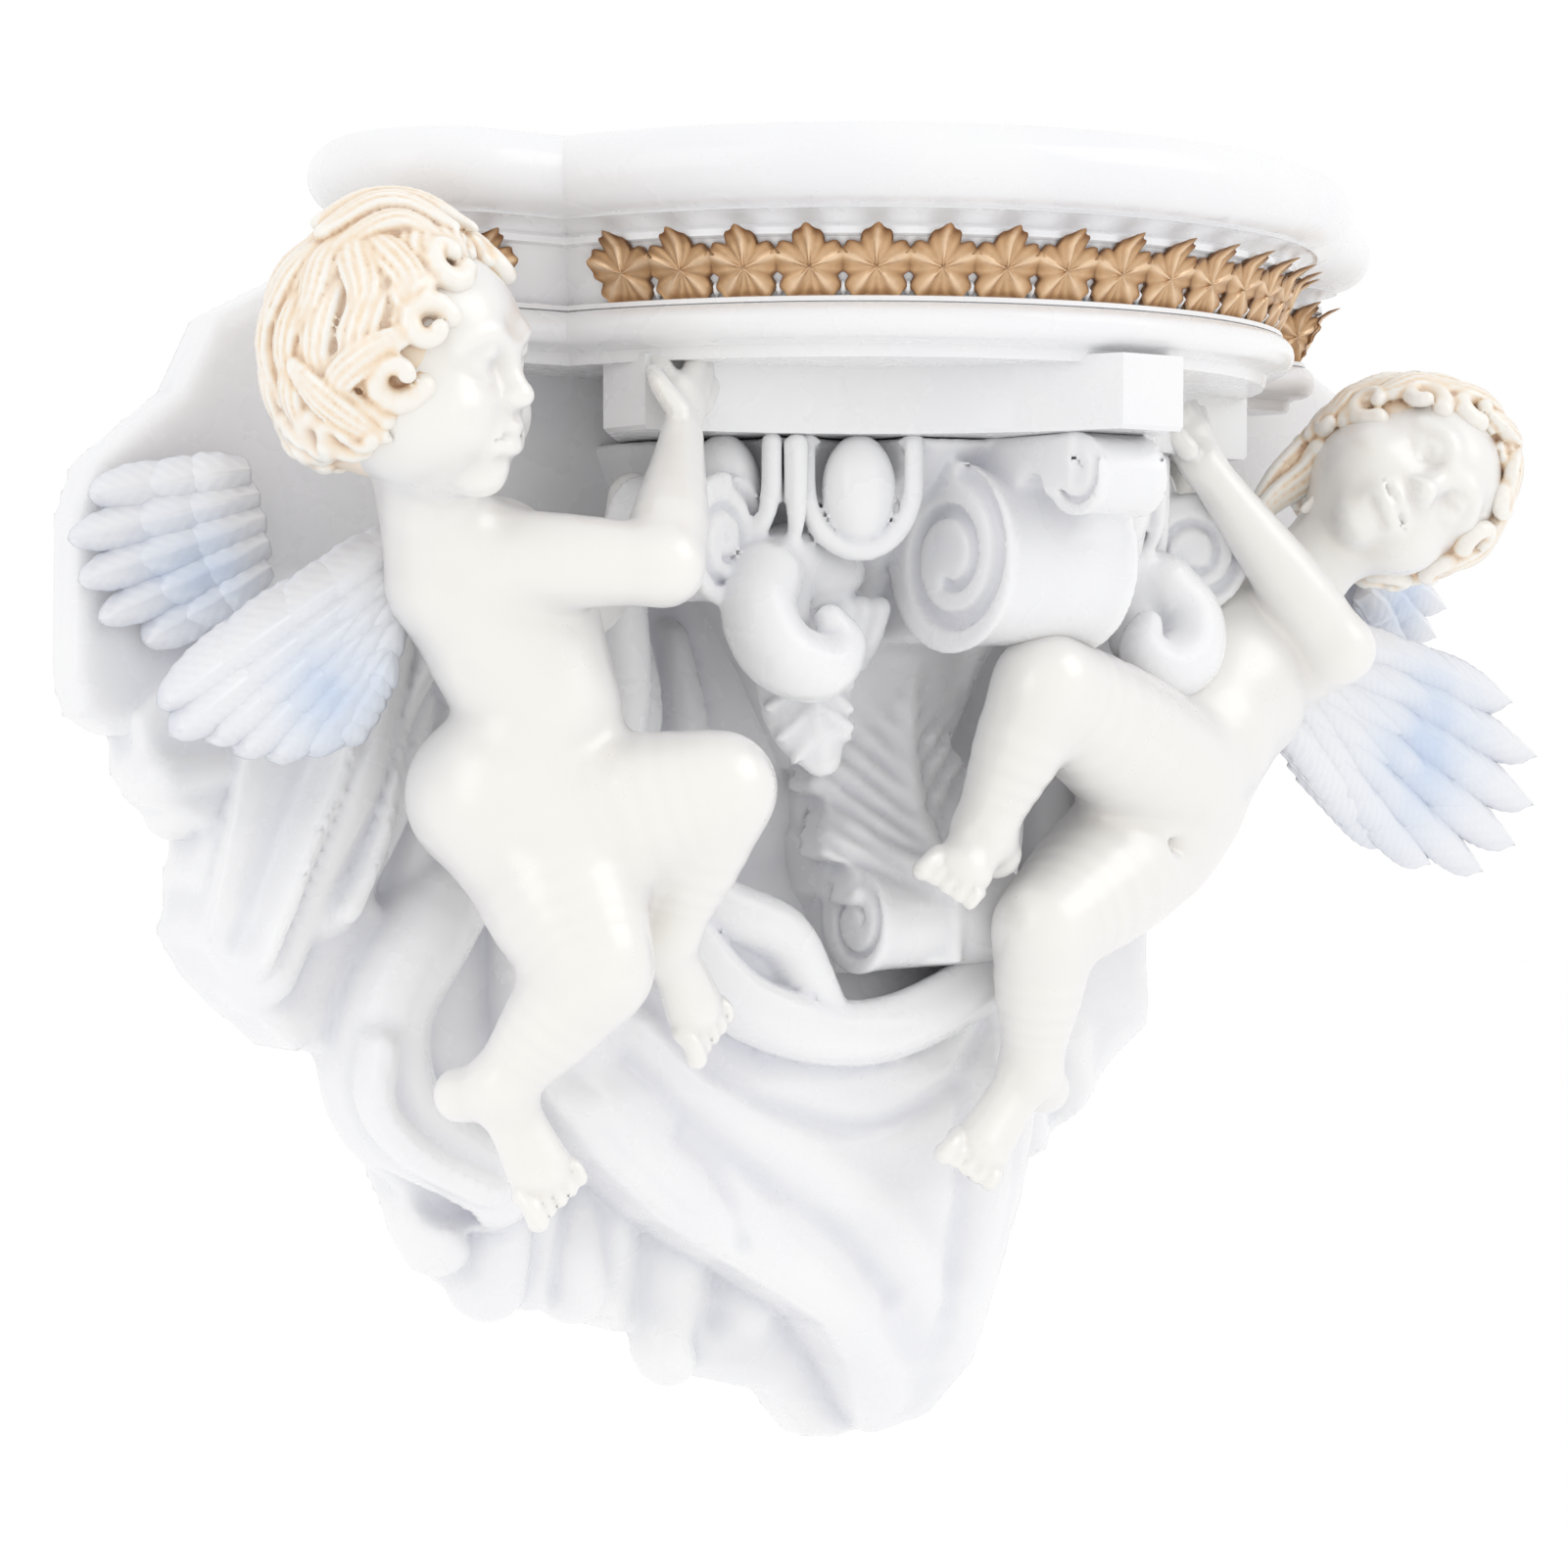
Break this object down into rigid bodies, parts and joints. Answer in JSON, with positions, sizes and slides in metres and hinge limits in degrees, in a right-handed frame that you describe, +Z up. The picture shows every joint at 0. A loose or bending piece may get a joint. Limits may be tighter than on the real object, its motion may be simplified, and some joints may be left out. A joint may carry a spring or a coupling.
{
  "type": "carved wall shelf",
  "caption": "Wall-hung display shelf with a moulded bow-fronted top, carried by two winged children over a scrolled capital and hanging drapery.",
  "frame": {"origin": "point of the flat back face on the wall, on the centre line of the shelf, 147 mm below the shelf's top", "axes": "+Y into the wall, +X to the viewer's right, +Z up; the front faces -Y"},
  "size_m": [0.5196, 0.166, 0.375],
  "materials": {
    "gloss_white": "gloss white paint on cast resin",
    "pearl_skin": "pearl ivory paint on cast resin",
    "peach_hair": "ivory paint with a peach wash in the hollows",
    "wing_blue": "white pearl paint with a pale blue wash",
    "gold_leaf": "bronze-gold paint with a dull metallic shine"
  },
  "bodies": {
    "root": {"shelf": "gloss_white", "bracket": "gloss_white", "left_angel": "pearl_skin", "right_angel": "pearl_skin"}
  },
  "joints": []
}
